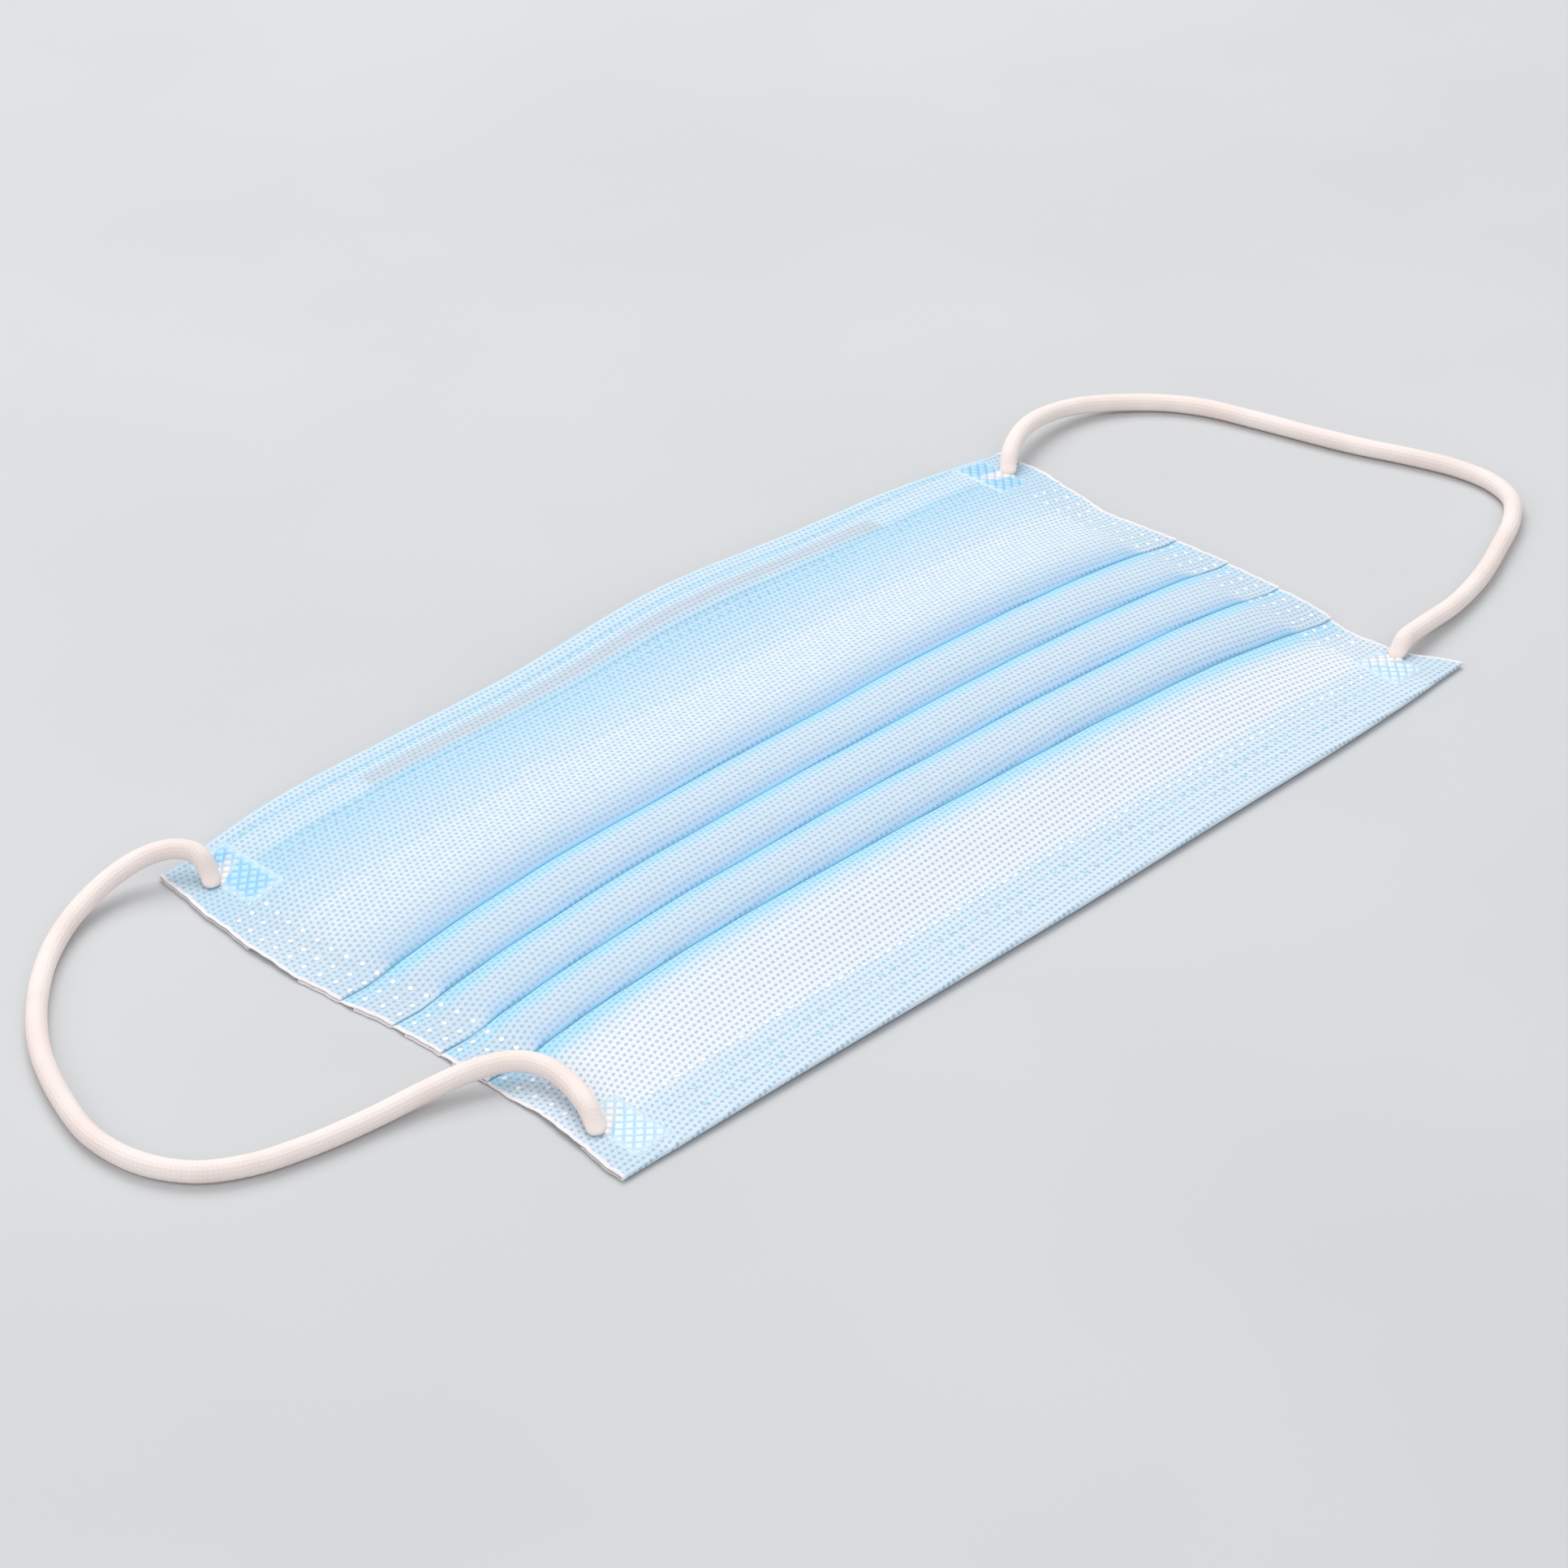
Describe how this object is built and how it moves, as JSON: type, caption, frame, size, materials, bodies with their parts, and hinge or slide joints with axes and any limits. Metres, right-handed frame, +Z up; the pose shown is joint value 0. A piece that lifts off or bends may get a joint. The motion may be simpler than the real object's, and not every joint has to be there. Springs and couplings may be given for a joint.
{
  "type": "surgical face mask",
  "caption": "Pleated disposable face mask of bonded nonwoven plies, with a bendable nose wire and elastic ear loops, lying outer face up.",
  "frame": {"origin": "middle of the mask on the table it lies on, measured without the ear loops", "axes": "+X along the pleats, +Y to the nose edge, +Z up out of the blue outer face"},
  "size_m": [0.2669, 0.0981, 0.0062],
  "materials": {
    "panel_fabric": "light blue spunbond polypropylene with a fine embossed dot pattern, white inner face",
    "hem_fabric": "light blue spunbond polypropylene, turned in and spot welded",
    "wire_coating": "white plastic-coated nose wire",
    "loop_weld": "fused polypropylene with an embossed grid",
    "loop_elastic": "soft round knitted elastic, off-white with a pink tint"
  },
  "bodies": {
    "root": {"pleated_panel": "panel_fabric", "nose_hem": "hem_fabric", "chin_hem": "hem_fabric", "nose_wire": "wire_coating", "loop_weld_nose_left": "loop_weld", "loop_weld_nose_right": "loop_weld", "loop_weld_chin_left": "loop_weld", "loop_weld_chin_right": "loop_weld", "ear_loop_left": "loop_elastic", "ear_loop_right": "loop_elastic"}
  },
  "joints": []
}
